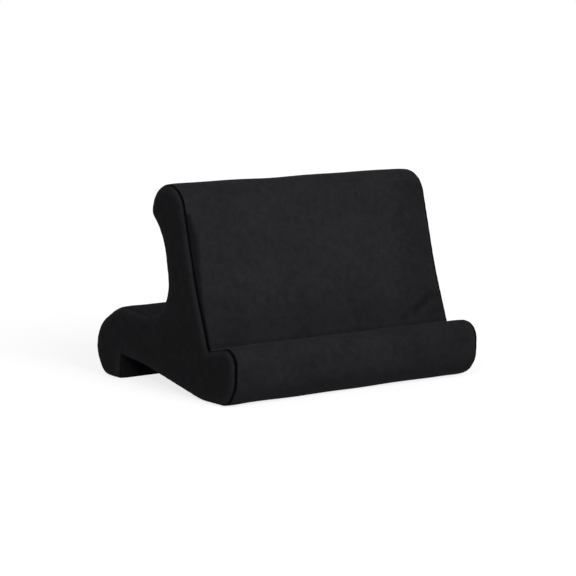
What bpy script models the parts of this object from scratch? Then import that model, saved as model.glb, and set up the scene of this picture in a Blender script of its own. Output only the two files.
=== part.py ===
"""Tablet cushion stand: a wedge of cut foam with three rounded rolls, in a sewn cover that zips shut underneath.

Metres, +Z up. The front lip faces -Y, the width runs along X, and the origin is on the floor
under the middle of the cushion. A tablet stands behind the lip, in the hollow above the rear
roll, or, with the cushion turned over, against the ledge of the hollow underneath.
"""

import math

import bmesh
import bpy
from mathutils import Matrix, Vector

# Cushion, outside the cover
WIDTH = 0.280
COVER_THICKNESS = 0.0012
SEAT_GAP = 0.0003
RIM_RADIUS = 0.005
SEAM_ANGLE = math.radians(30)

# Side outline: each corner is a distance back from the lip's front, a height and a radius
LIP_FOOT_RADIUS = 0.0285
LIP_SHOULDER_HEIGHT = 0.0573
LIP_TOP_RADIUS = 0.021
CREASE_BACK = 0.043
CREASE_HEIGHT = 0.0472
CREASE_RADIUS = 0.0015
BACKREST_BEND_BACK = 0.0621
BACKREST_BEND_HEIGHT = 0.1003
BACKREST_RADIUS = 0.400
HEAD_FRONT_BACK = 0.0862
HEAD_FRONT_HEIGHT = 0.1925
HEAD_FRONT_RADIUS = 0.0257
HEAD_REAR_BACK = 0.1306
HEAD_REAR_HEIGHT = 0.1887
HEAD_REAR_RADIUS = 0.0275
NAPE_BACK = 0.134
NAPE_HEIGHT = 0.1619
NAPE_RADIUS = 0.0079
NECK_BACK = 0.1149
NECK_HEIGHT = 0.1436
NECK_RADIUS = 0.0588
NECK_FOOT_BACK = 0.1008
NECK_FOOT_HEIGHT = 0.0623
NECK_FOOT_RADIUS = 0.0343
DECK_END_BACK = 0.1883
DECK_END_HEIGHT = 0.0707
DECK_END_RADIUS = 0.060
ROLL_TOP_BACK = 0.2317
ROLL_TOP_HEIGHT = 0.0492
ROLL_TOP_RADIUS = 0.0355
ROLL_FOOT_BACK = 0.2412
ROLL_FOOT_RADIUS = 0.0265
LEDGE_FOOT_BACK = 0.1929
LEDGE_FOOT_RADIUS = 0.0025
LEDGE_ROOT_BACK = 0.190
LEDGE_ROOT_HEIGHT = 0.023
LEDGE_ROOT_RADIUS = 0.0015
ARCH_TOP_BACK = 0.1522
ARCH_TOP_HEIGHT = 0.0195
ARCH_TOP_RADIUS = 0.150
ARCH_FRONT_BACK = 0.0552
ARCH_FRONT_RADIUS = 0.0825
ARC_SAGITTA = 0.0001

# Zip, in the hollow underneath, in front of the ledge
ZIP_FROM_LEDGE = 0.017
ZIP_SLOT_WIDTH = 0.010
TAPE_WIDTH = 0.011
TAPE_THICKNESS = 0.0006
TAPE_GAP = 0.0012
COIL_WIDTH = 0.0025
COIL_HEIGHT = 0.0012
TOOTH_PITCH = 0.0026
TOOTH_WIDTH = 0.0012
TOOTH_LENGTH = 0.0011

# Slider and the pull that swings in its bail
SLIDER_LENGTH = 0.012
SLIDER_PLATE = 0.001
SLIDER_TAIL_INSET = 0.0009
FLANGE_WIDTH = 0.0008
FLANGE_LENGTH = 0.009
POST_LENGTH = 0.003
POST_WIDTH = 0.0006
BAIL_LENGTH = 0.007
BAIL_WIDTH = 0.0016
BAIL_THICKNESS = 0.0009
BAIL_OPENING = 0.0014
PULL_LENGTH = 0.0144
PULL_WIDTH = 0.0054
PULL_THICKNESS = 0.0009
PULL_BAR = 0.0008
PULL_CORNER_RADIUS = 0.0012
WINDOW_WIDTH = 0.0026
WINDOW_LENGTH = 0.0048
WINDOW_RADIUS = 0.0006

CLEAN_DISTANCE = 0.000002
CUT_MARGIN = 0.002


def clear_scene():
    for old in list(bpy.data.objects):
        bpy.data.objects.remove(old, do_unlink=True)


def new_collection(name):
    collection = bpy.data.collections.new(name)
    bpy.context.scene.collection.children.link(collection)
    return collection


def new_material(name, colour, roughness, metallic=0.0):
    made = bpy.data.materials.new(name)
    made.use_nodes = True
    shader = made.node_tree.nodes["Principled BSDF"]
    shader.inputs["Base Color"].default_value = (*colour, 1.0)
    shader.inputs["Roughness"].default_value = roughness
    shader.inputs["Metallic"].default_value = metallic
    made.diffuse_color = (*colour, 1.0)
    return made


def side_corners():
    """The outline's corners from the lip's foot, anticlockwise seen from +X, as (back, height, radius)."""
    return [
        (0.0, 0.0, LIP_FOOT_RADIUS),
        (ARCH_FRONT_BACK, 0.0, ARCH_FRONT_RADIUS),
        (ARCH_TOP_BACK, ARCH_TOP_HEIGHT, ARCH_TOP_RADIUS),
        (LEDGE_ROOT_BACK, LEDGE_ROOT_HEIGHT, LEDGE_ROOT_RADIUS),
        (LEDGE_FOOT_BACK, 0.0, LEDGE_FOOT_RADIUS),
        (ROLL_FOOT_BACK, 0.0, ROLL_FOOT_RADIUS),
        (ROLL_TOP_BACK, ROLL_TOP_HEIGHT, ROLL_TOP_RADIUS),
        (DECK_END_BACK, DECK_END_HEIGHT, DECK_END_RADIUS),
        (NECK_FOOT_BACK, NECK_FOOT_HEIGHT, NECK_FOOT_RADIUS),
        (NECK_BACK, NECK_HEIGHT, NECK_RADIUS),
        (NAPE_BACK, NAPE_HEIGHT, NAPE_RADIUS),
        (HEAD_REAR_BACK, HEAD_REAR_HEIGHT, HEAD_REAR_RADIUS),
        (HEAD_FRONT_BACK, HEAD_FRONT_HEIGHT, HEAD_FRONT_RADIUS),
        (BACKREST_BEND_BACK, BACKREST_BEND_HEIGHT, BACKREST_RADIUS),
        (CREASE_BACK, CREASE_HEIGHT, CREASE_RADIUS),
        (0.0, LIP_SHOULDER_HEIGHT, LIP_TOP_RADIUS),
    ]


def cross(a, b):
    return a.x * b.y - a.y * b.x


def edge_directions(points):
    """Unit vectors along the edge before and the edge after each corner."""
    following = points[1:] + points[:1]
    after = [(there - here).normalized() for here, there in zip(points, following)]
    return after[-1:] + after[:-1], after


def inset_corners(corners, depth):
    """Move every edge inwards by depth: a full corner's radius shrinks by it, a hollow corner's grows."""
    points = [Vector(corner[:2]) for corner in corners]
    radii = [corner[2] for corner in corners]
    moved = []
    eased = []
    for point, radius, before, after in zip(points, radii, *edge_directions(points)):
        inward = Vector((-before.y - after.y, before.x + after.x)) / (1.0 + before.dot(after))
        moved.append(point + inward * depth)
        full = cross(before, after) > 0
        eased.append(max(radius - depth, 0.0) if full else radius + depth)
    return moved, eased


def arc_reaches(points, radii):
    """How far each corner's arc runs along its edges. Two arcs that want more than an edge has share it."""
    wanted = []
    for radius, before, after in zip(radii, *edge_directions(points)):
        wanted.append(radius * math.tan(before.angle(after) / 2))
    shares = [1.0] * len(points)
    for i, point in enumerate(points):
        last = i - 1
        length = (point - points[last]).length
        share = length / max(wanted[i] + wanted[last], length)
        shares[i] = min(shares[i], share)
        shares[last] = min(shares[last], share)
    return [reach * share for reach, share in zip(wanted, shares)]


def arc_steps(radius, turn):
    """Enough chords to keep within the sagitta of a corner's arc."""
    chord = 2 * math.acos(1 - ARC_SAGITTA / max(radius, 2 * ARC_SAGITTA))
    return max(1, math.ceil(abs(turn) / chord))


def side_outline(corners, depth=0.0):
    """Points of the outline inset by depth. A corner gives the same number of points at every depth."""
    points, radii = inset_corners(corners, depth)
    reaches = arc_reaches(points, radii)
    outline = []
    for i, (before, after) in enumerate(zip(*edge_directions(points))):
        turn = before.angle(after)
        if cross(before, after) < 0:
            turn = -turn
        start = points[i] - before * reaches[i]
        radius = reaches[i] / math.tan(turn / 2)
        centre = start + Vector((-before.y, before.x)) * radius
        steps = arc_steps(corners[i][2], turn)
        for step in range(steps + 1):
            outline.append(centre + Matrix.Rotation(turn * step / steps, 2) @ (start - centre))
    return outline


def centring_shift(corners):
    """How far back to move the outline so that its middle stands over the origin."""
    backs = [point.x for point in side_outline(corners)]
    return -(min(backs) + max(backs)) / 2


def cover_loop(corners, shift, side, angle, depth):
    """A loop of points round the cushion. At angle 0 it lies on the band and at 90 degrees on the flat end
    (side is -1 or 1), with a quarter-round rim between. Depth is how far under the cover's face it lies."""
    radius = RIM_RADIUS - depth
    x = side * (WIDTH / 2 - RIM_RADIUS + radius * math.sin(angle))
    inset = RIM_RADIUS - radius * math.cos(angle)
    return [(x, point.x + shift, point.y) for point in side_outline(corners, inset)]


def spread(first, last, steps):
    return [first + (last - first) * i / steps for i in range(steps + 1)]


def mesh_object(name, bm, collection, finish=None):
    mesh = bpy.data.meshes.new(name)
    bm.to_mesh(mesh)
    bm.free()
    made = bpy.data.objects.new(name, mesh)
    collection.objects.link(made)
    if finish is not None:
        mesh.materials.append(finish)
        mesh.shade_smooth()
        mesh.set_sharp_from_angle(angle=math.radians(35))
    return made


def loft(name, loops, ring_shaped, collection, finish):
    """A solid through a list of loops, either joined last to first or capped at both ends."""
    bm = bmesh.new()
    rows = [[bm.verts.new(point) for point in loop] for loop in loops]
    pairs = list(zip(rows, rows[1:]))
    if ring_shaped:
        pairs.append((rows[-1], rows[0]))
    else:
        bm.faces.new(rows[0])
        bm.faces.new(rows[-1])
    for here, there in pairs:
        for i in range(len(here)):
            bm.faces.new((here[i - 1], here[i], there[i], there[i - 1]))
    bmesh.ops.remove_doubles(bm, verts=bm.verts, dist=CLEAN_DISTANCE)
    bmesh.ops.recalc_face_normals(bm, faces=bm.faces)
    return mesh_object(name, bm, collection, finish)


def foam_core(corners, shift, collection, finish):
    """The block of foam that fills the cover, with its end edges pulled round by the cover."""
    depth = COVER_THICKNESS + SEAT_GAP
    rim = spread(0.0, math.pi / 2, 3)
    loops = [cover_loop(corners, shift, -1, angle, depth) for angle in reversed(rim)]
    loops += [cover_loop(corners, shift, 1, angle, depth) for angle in rim]
    return loft("foam_core", loops, False, collection, finish)


def cover_band(corners, shift, collection, finish):
    """The long strip round the cushion, turned over the rim at both ends as far as the side seams."""
    turned = spread(0.0, SEAM_ANGLE - SEAT_GAP / (2 * RIM_RADIUS), 2)
    outside = [(-1, angle) for angle in reversed(turned)] + [(1, angle) for angle in turned]
    loops = [cover_loop(corners, shift, side, angle, 0.0) for side, angle in outside]
    loops += [cover_loop(corners, shift, side, angle, COVER_THICKNESS) for side, angle in reversed(outside)]
    return loft("cover_band", loops, True, collection, finish)


def cover_side(name, side, corners, shift, collection, finish):
    """An end panel: a flat field whose rim rolls over to the side seam."""
    rolled = spread(math.pi / 2, SEAM_ANGLE + SEAT_GAP / (2 * RIM_RADIUS), 3)
    loops = [cover_loop(corners, shift, side, angle, 0.0) for angle in rolled]
    loops += [cover_loop(corners, shift, side, angle, COVER_THICKNESS) for angle in reversed(rolled)]
    return loft(name, loops, False, collection, finish)


def empty(name, location, parent, collection):
    made = bpy.data.objects.new(name, None)
    made.location = location
    made.parent = parent
    collection.objects.link(made)
    return made


def box(name, low, high, parent, collection, finish=None):
    """A box between two opposite corners, given in either order along each axis."""
    size = [abs(b - a) for a, b in zip(low, high)]
    middle = (Vector(low) + Vector(high)) / 2
    bm = bmesh.new()
    bmesh.ops.create_cube(bm, size=1.0, matrix=Matrix.Translation(middle) @ Matrix.Diagonal((*size, 1.0)))
    made = mesh_object(name, bm, collection, finish)
    made.parent = parent
    return made


def flat_outline(name, loops, thickness, parent, collection, finish):
    """A plate of the given thickness, from an outline and any windows in it."""
    curve = bpy.data.curves.new(name, "CURVE")
    curve.dimensions = "2D"
    curve.fill_mode = "BOTH"
    curve.extrude = thickness / 2
    for loop in loops:
        spline = curve.splines.new("POLY")
        spline.points.add(len(loop) - 1)
        spline.use_cyclic_u = True
        for point, (x, y) in zip(spline.points, loop):
            point.co = (x, y, 0.0, 1.0)
    curve.materials.append(finish)
    made = bpy.data.objects.new(name, curve)
    made.parent = parent
    collection.objects.link(made)
    return made


def boolean(target, other, operation):
    other.hide_render = True
    other.display_type = "WIRE"
    step = target.modifiers.new(other.name, "BOOLEAN")
    step.operation = operation
    step.solver = "EXACT"
    step.object = other


def zip_frame(shift, collection):
    """An empty on the cover's face in the hollow underneath: its X runs along the zip, its -Z points out."""
    arch_top = Vector((ARCH_TOP_BACK, ARCH_TOP_HEIGHT))
    ledge_root = Vector((LEDGE_ROOT_BACK, LEDGE_ROOT_HEIGHT))
    along = (ledge_root - arch_top).normalized()
    middle = ledge_root - along * ZIP_FROM_LEDGE
    made = empty("zip_frame", (0.0, middle.x + shift, middle.y), None, collection)
    made.rotation_euler = (math.atan2(along.y, along.x), 0.0, 0.0)
    return made


def zip_half_length():
    """The zip ends where the band starts to turn in to the side seams."""
    return WIDTH / 2 - RIM_RADIUS - SEAT_GAP


def tape_faces():
    """Heights of the tapes' two faces over the cover's face: they are sewn to its inside."""
    face = COVER_THICKNESS + SEAT_GAP
    return face, face + TAPE_THICKNESS


def coil_faces():
    """Heights of the rows of teeth, which stand in the slot on the outer face of their tapes."""
    back = tape_faces()[0] - SEAT_GAP
    return back - COIL_HEIGHT, back


def slider_half_width():
    return TAPE_GAP / 2 + COIL_WIDTH + SEAT_GAP + FLANGE_WIDTH


def plate_faces():
    """Facing heights of the slider's two plates: one over the teeth, one behind the tapes."""
    return coil_faces()[0] - SEAT_GAP, tape_faces()[1] + SEAT_GAP


def cut_zip_slot(band, frame, cutters):
    half = zip_half_length()
    low = (-half, -ZIP_SLOT_WIDTH / 2, -CUT_MARGIN)
    high = (half, ZIP_SLOT_WIDTH / 2, COVER_THICKNESS + CUT_MARGIN)
    boolean(band, box("zip_slot_cutter", low, high, frame, cutters), "DIFFERENCE")


def relieve_foam(core, frame, cutters):
    """The soft foam gives way to the tapes and to the slider's inner plate."""
    half = zip_half_length()
    reach = TAPE_GAP / 2 + TAPE_WIDTH + SEAT_GAP
    depth = plate_faces()[1] + SLIDER_PLATE + SEAT_GAP
    low = (-half, -reach, -CUT_MARGIN)
    boolean(core, box("foam_relief_cutter", low, (half, reach, depth), frame, cutters), "DIFFERENCE")


def zip_tape(name, side, frame, collection, finish):
    half = zip_half_length() - SEAT_GAP
    face, back = tape_faces()
    low = (-half, side * TAPE_GAP / 2, face)
    high = (half, side * (TAPE_GAP / 2 + TAPE_WIDTH), back)
    return box(name, low, high, frame, collection, finish)


def zip_coil(name, side, frame, collection, finish):
    """A row of teeth on its bead, as one comb. The front and rear rows stand half a pitch apart."""
    half = zip_half_length() - SEAT_GAP
    outer = side * (TAPE_GAP / 2 + COIL_WIDTH)
    root = side * (TAPE_GAP / 2 + TOOTH_LENGTH)
    tip = side * TAPE_GAP / 2
    first = -half + (1 + side) / 4 * TOOTH_PITCH + SEAT_GAP
    count = int((half - first) / TOOTH_PITCH)
    comb = [(half, root), (half, outer), (-half, outer), (-half, root)]
    for start in spread(first, first + (count - 1) * TOOTH_PITCH, count - 1):
        end = start + TOOTH_WIDTH
        comb += [(start, root), (start, tip), (end, tip), (end, root)]
    face, back = coil_faces()
    made = flat_outline(name, [comb], back - face, frame, collection, finish)
    made.location.z = (face + back) / 2
    return made


def slider_plate(name, low, high, parent, collection, finish=None):
    """A plate that narrows from the slider's nose at +X to its tail."""
    half = slider_half_width()
    nose = SLIDER_LENGTH / 2
    made = box(name, (-nose, -half, low), (nose, half, high), parent, collection, finish)
    for vertex in made.data.vertices:
        if vertex.co.x < 0:
            vertex.co.y -= math.copysign(SLIDER_TAIL_INSET, vertex.co.y)
    return made


def zip_slider(track, collection, cutters, finish):
    """Two plates joined by the post that parts the rows, flanges beside the teeth, and the bail on top."""
    half = slider_half_width()
    outer, inner = plate_faces()
    nose = SLIDER_LENGTH / 2
    lap = SLIDER_PLATE / 2
    top = outer - SLIDER_PLATE
    bridge = top - BAIL_OPENING
    body = slider_plate("zip_slider", top, outer, track, collection, finish)
    joined = [slider_plate("slider_back_plate", inner, inner + SLIDER_PLATE, track, cutters)]
    low = (nose - POST_LENGTH, -POST_WIDTH / 2, outer - lap)
    joined.append(box("slider_post", low, (nose, POST_WIDTH / 2, inner + lap), track, cutters))
    for side, word in ((-1, "front"), (1, "rear")):
        low = (nose - FLANGE_LENGTH, side * (half - FLANGE_WIDTH), outer - lap)
        high = (nose, side * half, coil_faces()[1] - SEAT_GAP)
        joined.append(box("slider_flange_" + word, low, high, track, cutters))
    for side, word in ((-1, "tail"), (1, "nose")):
        low = (side * (BAIL_LENGTH / 2 - BAIL_THICKNESS), -BAIL_WIDTH / 2, bridge - BAIL_THICKNESS)
        high = (side * BAIL_LENGTH / 2, BAIL_WIDTH / 2, top + lap)
        joined.append(box("bail_leg_" + word, low, high, track, cutters))
    low = (-BAIL_LENGTH / 2, -BAIL_WIDTH / 2, bridge - BAIL_THICKNESS)
    joined.append(box("bail_bridge", low, (BAIL_LENGTH / 2, BAIL_WIDTH / 2, bridge), track, cutters))
    for other in joined:
        boolean(body, other, "UNION")
    return body


def rounded_rectangle(half_width, bottom, top, radius):
    """Outline points, anticlockwise from the right of the top corner, each corner in four steps."""
    points = []
    signs = ((1, 1), (-1, 1), (-1, -1), (1, -1))
    for quarter, (across, up) in enumerate(signs):
        centre_x = across * (half_width - radius)
        centre_y = (top if up > 0 else bottom) - up * radius
        for turn in spread(quarter * math.pi / 2, (quarter + 1) * math.pi / 2, 4):
            points.append((centre_x + radius * math.cos(turn), centre_y + radius * math.sin(turn)))
    return points


def zip_pull(pivot, collection, finish):
    """A flat tab that hangs from the bail by the bar above its window, with the pivot inside that bar."""
    bar = PULL_BAR / 2
    outline = rounded_rectangle(PULL_WIDTH / 2, bar - PULL_LENGTH, bar, PULL_CORNER_RADIUS)
    window = rounded_rectangle(WINDOW_WIDTH / 2, -bar - WINDOW_LENGTH, -bar, WINDOW_RADIUS)
    made = flat_outline("zip_pull", [outline, window], PULL_THICKNESS, pivot, collection, finish)
    made.rotation_euler = (math.pi / 2, 0.0, math.pi / 2)
    return made


def main():
    clear_scene()
    parts = new_collection("tablet_cushion_stand")
    cutters = new_collection("cutters")
    cloth = new_material("black_velour", (0.018, 0.018, 0.019), 0.95)
    foam = new_material("grey_foam", (0.42, 0.42, 0.40), 0.9)
    tape = new_material("black_tape", (0.012, 0.012, 0.013), 0.85)
    nylon = new_material("black_nylon", (0.010, 0.010, 0.011), 0.45)
    metal = new_material("dark_zinc", (0.055, 0.055, 0.060), 0.35, 0.9)

    corners = side_corners()
    shift = centring_shift(corners)
    core = foam_core(corners, shift, parts, foam)
    band = cover_band(corners, shift, parts, cloth)
    cover_side("cover_side_left", -1, corners, shift, parts, cloth)
    cover_side("cover_side_right", 1, corners, shift, parts, cloth)

    frame = zip_frame(shift, parts)
    cut_zip_slot(band, frame, cutters)
    relieve_foam(core, frame, cutters)
    for side, word in ((-1, "front"), (1, "rear")):
        zip_tape("zip_tape_" + word, side, frame, parts, tape)
        zip_coil("zip_coil_" + word, side, frame, parts, nylon)

    closed_at = zip_half_length() - SEAT_GAP - SLIDER_LENGTH / 2
    track = empty("slider_track", (closed_at, 0.0, 0.0), frame, parts)
    zip_slider(track, parts, cutters, metal)
    bar_level = plate_faces()[0] - SLIDER_PLATE - BAIL_OPENING / 2
    pivot = empty("pull_pivot", (0.0, 0.0, bar_level), track, parts)
    zip_pull(pivot, parts, metal)


main()
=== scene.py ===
import math

import bmesh
import bpy
import numpy as np
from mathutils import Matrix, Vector
from mathutils.geometry import delaunay_2d_cdt


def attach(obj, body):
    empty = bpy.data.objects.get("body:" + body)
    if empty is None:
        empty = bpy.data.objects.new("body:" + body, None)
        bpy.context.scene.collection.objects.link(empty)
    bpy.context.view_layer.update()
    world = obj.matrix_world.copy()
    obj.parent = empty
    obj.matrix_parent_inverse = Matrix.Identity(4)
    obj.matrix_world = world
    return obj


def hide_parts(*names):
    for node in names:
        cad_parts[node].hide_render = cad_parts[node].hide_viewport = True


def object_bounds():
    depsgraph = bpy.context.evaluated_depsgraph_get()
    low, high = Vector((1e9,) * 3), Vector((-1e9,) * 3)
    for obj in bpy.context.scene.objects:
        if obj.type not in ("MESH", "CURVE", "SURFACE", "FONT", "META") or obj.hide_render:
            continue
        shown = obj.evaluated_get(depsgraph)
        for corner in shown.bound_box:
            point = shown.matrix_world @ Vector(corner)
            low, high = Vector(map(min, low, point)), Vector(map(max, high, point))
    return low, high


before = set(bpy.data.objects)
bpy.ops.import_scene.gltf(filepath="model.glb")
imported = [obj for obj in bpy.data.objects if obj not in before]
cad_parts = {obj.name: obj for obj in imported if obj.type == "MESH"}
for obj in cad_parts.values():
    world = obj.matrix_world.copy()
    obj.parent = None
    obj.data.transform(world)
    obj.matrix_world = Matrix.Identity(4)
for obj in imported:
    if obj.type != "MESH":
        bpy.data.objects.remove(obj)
scene = bpy.context.scene
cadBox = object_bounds()
halfWidth = (cadBox[1].x - cadBox[0].x) / 2
frontY = cadBox[0].y
print("frame loaded: " + ", ".join(sorted(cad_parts)))

# Side outline of the cushion: distance back from the lip's front, height, corner radius
sideOutline = {
    "lipFoot": (0.0, 0.0, 0.0255),
    "archFront": (0.0552, 0.0, 0.0825),
    "archTop": (0.1522, 0.0195, 0.150),
    "ledgeRoot": (0.190, 0.023, 0.0015),
    "ledgeFoot": (0.1929, 0.0, 0.0025),
    "rollFoot": (0.2412, 0.0, 0.0265),
    "rollTop": (0.2317, 0.0492, 0.0355),
    "deckEnd": (0.1883, 0.0707, 0.060),
    "neckFoot": (0.1008, 0.0623, 0.0343),
    "neck": (0.1149, 0.1436, 0.0588),
    "nape": (0.134, 0.1619, 0.0079),
    "headRear": (0.1306, 0.1887, 0.0275),
    "headFront": (0.0862, 0.1925, 0.0257),
    "backrestBend": (0.0621, 0.1003, 0.400),
    "crease": (0.043, 0.0472, 0.0015),
    "lipShoulder": (0.0, 0.0573, 0.0165),
}
outlineMesh = {
    "rowSpacing": 0.0023,
    "degreesPerRow": 9.0,
    "leastRadius": 0.0004,
    "closeTogether": 0.0001,
}

# The zip underneath, in front of the ledge
zipSizes = {
    "fromLedge": 0.017,
    "slotWidth": 0.010,
    "slotHalfLength": 0.1347,
    "tapeHalfLength": 0.1344,
    "tapeWidth": 0.011,
    "tapeThickness": 0.0006,
    "tapeGap": 0.0012,
    "tapeFace": 0.0015,
}
cornerNames = list(sideOutline)
corners = np.array(list(sideOutline.values()))


# Directions turned a quarter to the right: outwards on an outline that runs anticlockwise
def outwardOf(direction):
    return np.stack([direction[:, 1], -direction[:, 0]], axis=1)


# Vectors turned anticlockwise: (x cos - y sin, x sin + y cos)
def turned(vectors, angle):
    c, s = np.cos(angle), np.sin(angle)
    return np.stack([c * vectors[:, 0] - s * vectors[:, 1], s * vectors[:, 0] + c * vectors[:, 1]], axis=1)


# The corners' arcs at an inset: edges move in by it, full corners' radii shrink by it and hollow ones'
# grow. An arc starts radius * tan(turn / 2) before its corner, or less where two share an edge
def cornerArcs(inset):
    points = corners[:, :2]
    after = np.roll(points, -1, axis=0) - points
    after /= np.linalg.norm(after, axis=1, keepdims=True)
    before = np.roll(after, 1, axis=0)
    turn = np.arctan2(before[:, 0] * after[:, 1] - before[:, 1] * after[:, 0], (before * after).sum(axis=1))
    moved = points - inset * (outwardOf(before) + outwardOf(after)) / (1 + np.cos(turn))[:, None]
    radius = np.maximum(corners[:, 2] - np.sign(turn) * inset, outlineMesh["leastRadius"])
    wanted = radius * np.tan(np.abs(turn) / 2)
    edge = np.linalg.norm(np.roll(moved, -1, axis=0) - moved, axis=1)
    share = np.minimum(1, edge / (wanted + np.roll(wanted, -1)))
    reach = wanted * np.minimum(share, np.roll(share, 1))
    start = moved - before * reach[:, None]
    end = moved + after * reach[:, None]
    centre = start - outwardOf(before) * (reach / np.tan(turn / 2))[:, None]
    return start, end, centre, turn, before


# Rows' shares of the zip's straight: on the slot's edges, and closer in its hems
def slotCuts(start, end):
    length = np.linalg.norm(end - start)
    along = (end - start) / length
    root = corners[cornerNames.index("ledgeRoot"), :2]
    middle = (root - along * zipSizes["fromLedge"] - start) @ along / length
    half = zipSizes["slotWidth"] / 2 / length
    hem = np.array([0.0, 0.00015, 0.0004, 0.0008, 0.0013, 0.002]) / length
    near, far = middle - half, middle + half
    inside = np.linspace(near, far, 6)[1:-1]
    before = np.arange(near - hem[-1], 0.04, -outlineMesh["rowSpacing"] / length)[1:]
    behind = np.arange(far + hem[-1], 0.96, outlineMesh["rowSpacing"] / length)[1:]
    return np.sort(np.concatenate([before, near - hem, inside, far + hem, behind])), near, far


# One key a row of the cover: (corner, share of its arc, share of the straight after it)
def keysOfRows():
    start, end, centre, turn, before = cornerArcs(0.0)
    radius = np.linalg.norm(start - centre, axis=1)
    byAngle = np.degrees(np.abs(turn)) / outlineMesh["degreesPerRow"]
    byLength = radius * np.abs(turn) / outlineMesh["rowSpacing"]
    arcRows = np.ceil(np.maximum(byAngle, byLength)).astype(int)
    gaps = np.linalg.norm(np.roll(start, -1, axis=0) - end, axis=1)
    keys = []
    slotEdges = (0.0, 0.0)
    for i, name in enumerate(cornerNames):
        shares = np.linspace(0, 1, arcRows[i] + 1)
        if gaps[i - 1] < outlineMesh["closeTogether"]:
            shares = shares[1:]
        keys.append(np.stack([np.full(len(shares), i), shares, np.zeros(len(shares))], axis=1))
        if name == "archTop":
            cuts, *slotEdges = slotCuts(end[i], start[i + 1])
        else:
            cuts = np.linspace(0, 1, int(gaps[i] / outlineMesh["rowSpacing"]) + 2)[1:-1]
        if gaps[i] >= outlineMesh["closeTogether"]:
            keys.append(np.stack([np.full(len(cuts), i), np.ones(len(cuts)), cuts], axis=1))
    return np.concatenate(keys), slotEdges


rowKeys, slotEdges = keysOfRows()
rowCorner = rowKeys[:, 0].astype(int)


# Rows of a named corner and of the straight behind it
def rowsOf(name):
    return rowCorner == cornerNames.index(name)


def firstRowOf(name):
    return int(np.flatnonzero(rowsOf(name))[0])


onZipStraight = rowsOf("archTop") & (rowKeys[:, 2] > 0)
slotRows = [int(np.argmin(np.abs(rowKeys[:, 2] - edge) + ~onZipStraight)) for edge in slotEdges]


# Points (y, z) and outward normals at an inset: a corner's spoke turned through its arc, or a share of the
# straight after it
def outlineAt(inset):
    start, end, centre, turn, before = cornerArcs(inset)
    angle = turn[rowCorner] * rowKeys[:, 1]
    arc = centre[rowCorner] + turned((start - centre)[rowCorner], angle)
    onward = (np.roll(start, -1, axis=0) - end)[rowCorner]
    points = arc + rowKeys[:, 2:] * onward
    return points + (frontY, 0.0), outwardOf(turned(before[rowCorner], angle))


outlinePoints, outlineNormals = outlineAt(0.0)
rowSteps = np.linalg.norm(np.roll(outlinePoints, -1, axis=0) - outlinePoints, axis=1)
rowReach = np.concatenate([[0.0], np.cumsum(rowSteps)[:-1]])
perimeter = rowSteps.sum()
print(f"side outline: {len(rowKeys)} rows round {perimeter * 1000:.0f} mm")


# 0 up to start, 1 from end on, and 3t^2 - 2t^3 between
def smoothStep(values, start, end):
    t = np.clip((values - start) / (end - start), 0, 1)
    return t * t * (3 - 2 * t)


# How the sewn cover lies on the foam. The band turns by bandTurn over bandReach before the seam, the panel
# from panelTurn to flat over panelReach behind it
coverFit = {
    "thickness": 0.0012,
    "fullness": 0.0003,
    "seamPlace": 0.1391,
    "bandTurn": 22.0,
    "bandReach": 0.003,
    "panelTurn": 50.0,
    "panelReach": 0.0095,
    "grooveReach": 0.0016,
    "grooveDepth": 0.0018,
    "thinReach": 0.00208,
    "thinWall": 0.45,
    "seamHalfGap": 0.00002,
    "edgeDrop": 0.0005,
    "edgeDropReach": 0.0070,
    "backrestDrop": 0.0014,
    "dropLoss": 0.6,
    "puckerDepth": 0.00020,
    "puckerReach": 0.005,
    "softness": 0.00018,
    "hemDepth": 0.0009,
    "hemReach": 0.0016,
    "columnSpacing": 0.0040,
    "edgeColumnSpacing": 0.0018,
    "edgeZone": 0.042,
    "panelSpacing": 0.0034,
    "panelRingGap": 0.0022,
}


# Rows' values smoothed with a raised cosine
def eased(values, reach):
    weights = np.hanning(2 * reach + 3)[1:-1]
    return np.convolve(np.pad(values, reach, mode="wrap"), weights / weights.sum(), mode="valid")


# How much each row belongs to the named corners, smoothed along the outline
def shareNear(*names):
    return eased(sum(rowsOf(name).astype(float) for name in names), 6)


# How much fuller the stuffed cushion stands at a corner, at its left end and at its right end
plumpness = {
    "deckEnd": (0.0014, 0.0010),
    "rollTop": (-0.0017, -0.0013),
    "rollFoot": (-0.0024, -0.0018),
    "lipFoot": (-0.0018, -0.0006),
    "headRear": (0.0, 0.0020),
    "headFront": (0.0, 0.0003),
    "lipShoulder": (-0.0008, 0.0003),
}


# Rows' offsets at places along x: straight between the corners' middles and from end to end, none where the
# cover faces the floor
def plumpAt(x):
    middles = []
    for i in range(len(corners)):
        own = rowCorner == i
        middles.append(rowReach[own][np.abs(rowKeys[own, 1] - 0.5).argmin()])
    ends = [[plumpness.get(name, (0.0, 0.0))[side] for name in cornerNames] for side in (0, 1)]
    left, right = (eased(np.interp(rowReach, middles, values, period=perimeter), 10) for values in ends)
    share = np.clip(np.asarray(x) / halfWidth / 2 + 0.5, 0, 1)
    offFloor = 1 - smoothStep(-outlineNormals[:, 1:], 0.6, 0.95)
    return (left[:, None] * (1 - share) + right[:, None] * share) * offFloor


# Tension folds at the backrest's lower right corner: ends as (x, height), depth and half width
backrestFolds = {
    "inner": ((0.0915, 0.0560), (0.1310, 0.0770), 0.0012, 0.0033),
    "outer": ((0.1170, 0.0572), (0.1400, 0.0602), 0.0006, 0.0022),
}
foldRidge = {"height": 0.45, "place": 1.9}

# Soft wrinkles across the deck at the foot of the neck, beside the left seam
neckWrinkles = {"depth": 0.0007, "spacing": 0.0085, "reach": 0.045}
waves = np.random.default_rng(11)


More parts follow.
